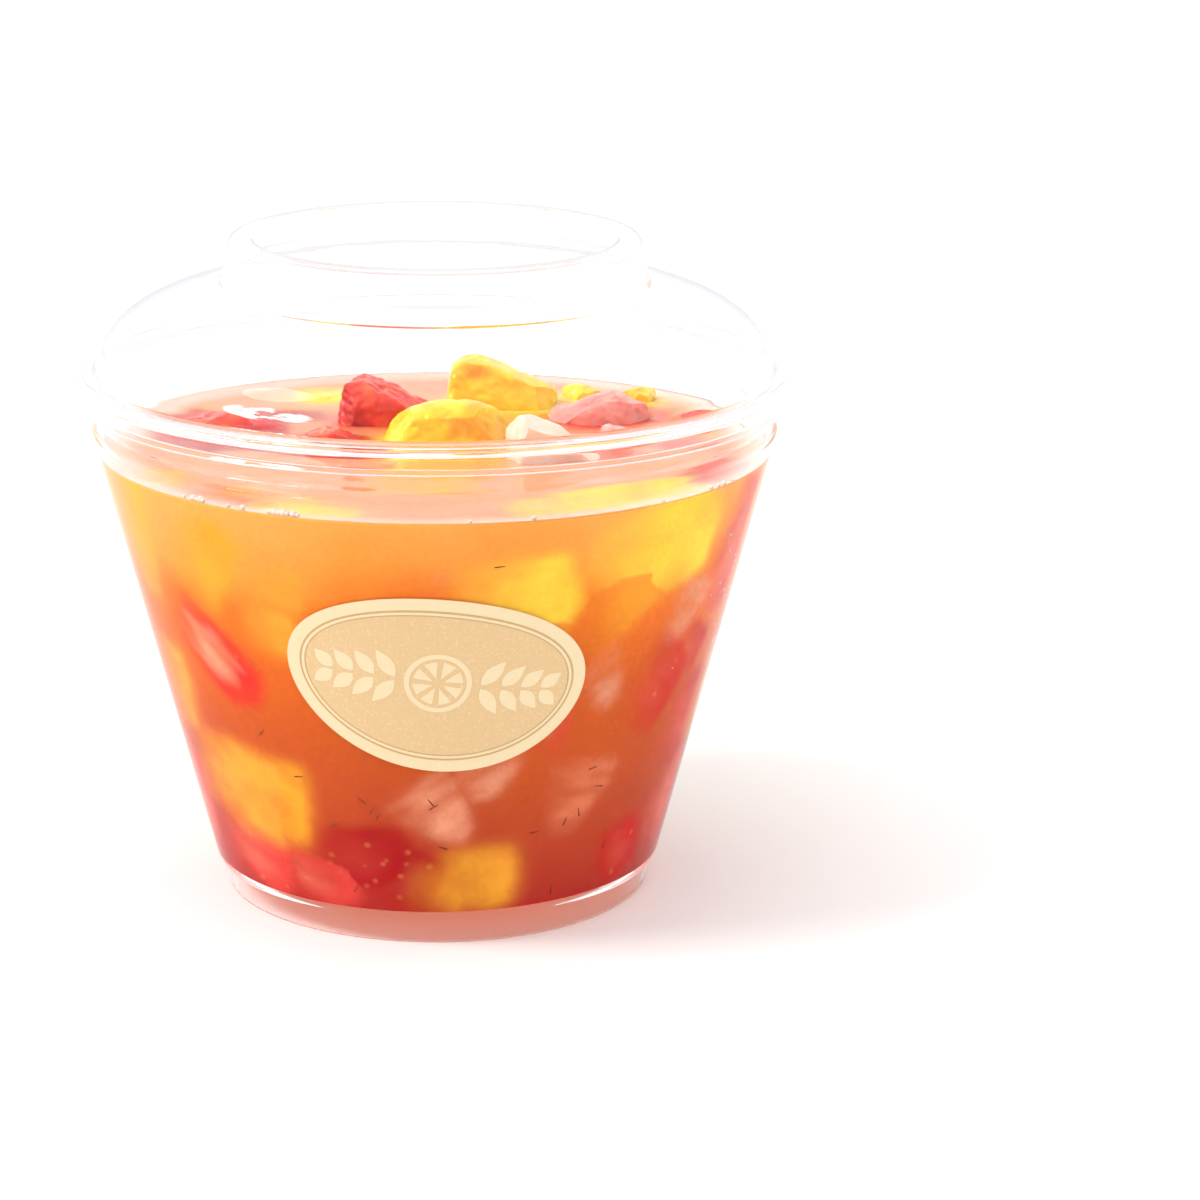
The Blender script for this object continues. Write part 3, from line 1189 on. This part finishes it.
# Small things at the wall: foam bubbles along the juice's edge and up the right side, and dark fibres
# of the fruit's skin that lie in the juice against the plastic.
BUBBLES = (
    (-45.1, 0.3), (-43.2, 0.45), (-42.3, 0.3), (-41.6, 0.5), (-40.9, 0.35), (-35.5, 0.3), (-32.7, 0.4),
    (-27.6, 0.35), (-26.8, 0.5), (-26.0, 0.4), (-25.2, 0.55), (-24.4, 0.4), (-23.4, 0.5), (-22.6, 0.3),
    (5.3, 0.25), (15.6, 0.35), (39.6, 0.25), (51.5, 0.35), (53.7, 0.3), (55.5, 0.3), (58.2, 0.25),
)
FLECKS = (
    (-0.9, 21.3, 55), (-1.5, 22.0, -35), (34.5, 24.8, 80), (37.2, 21.7, -80), (29.4, 17.3, 14),
    (32.8, 18.3, -14), (21.9, 16.4, 80), (28.6, 6.8, 0), (10.3, 56.5, 85), (-13.1, 19.6, 25),
    (-14.3, 20.4, 30), (-16.4, 21.9, -50), (-23.5, 17.6, 55), (-30.5, 24.3, 80), (1.1, 15.0, -70),
    (42.7, 12.0, 10), (13.2, 30.0, 60), (-38.0, 30.0, 45), (-20.0, 8.0, 30),
)
DROPS = 170
DROP_ANGLES = (84, 10)
DROP_HEIGHTS = (47, 8)
DROP_TOP = 61
DROP_SEED = 5
FLECK_RADIUS = 0.085 * MM
FLECK_LENGTH = 1.3 * MM

foam_bm = bmesh.new()
for angle, radius in BUBBLES:
    spot = wall_frame(angle, JUICE_LEVEL + WALL_CLIMB, (0.5 + radius * 0.8) * MM)
    bmesh.ops.create_icosphere(foam_bm, subdivisions=3, radius=radius * MM, matrix=spot)
draw = random.Random(DROP_SEED)
for _ in range(DROPS):
    height = min(draw.gauss(*DROP_HEIGHTS), DROP_TOP)
    spot = wall_frame(draw.gauss(*DROP_ANGLES), height * MM, 0.12 * MM)
    spot = spot @ Matrix.Diagonal((draw.uniform(1.0, 2.4), 0.25, 0.8, 1))
    bmesh.ops.create_icosphere(foam_bm, subdivisions=2, radius=draw.uniform(0.13, 0.3) * MM, matrix=spot)
foam_mesh = mesh_of(foam_bm, "foam_bubbles")
foam_mesh.shade_smooth()
foam_material, foam_shader, _ = blank_material("foam")
foam_shader.inputs["Base Color"].default_value = (*colour(236, 206, 190), 1)
foam_shader.inputs["Roughness"].default_value = 0.15
foam_shader.inputs["Coat Weight"].default_value = 0.6
foam_shader.inputs["Coat Roughness"].default_value = 0.05
add_piece("foam_bubbles", foam_mesh, foam_material)

fleck_bm = bmesh.new()
for angle, height, turn in FLECKS:
    spot = wall_frame(angle, height * MM, JUICE_IN_WALL - 0.05 * MM)
    spot = spot @ Matrix.Rotation(math.radians(turn), 4, "Y")
    bmesh.ops.create_cone(fleck_bm, cap_ends=True, segments=6, radius1=FLECK_RADIUS,
                          radius2=FLECK_RADIUS * 0.6, depth=FLECK_LENGTH, matrix=spot)
fleck_material, fleck_shader, _ = blank_material("skin_fibre")
fleck_shader.inputs["Base Color"].default_value = (*colour(120, 40, 20), 1)
fleck_shader.inputs["Roughness"].default_value = 0.6
add_piece("skin_fibres", mesh_of(fleck_bm, "skin_fibres"), fleck_material)
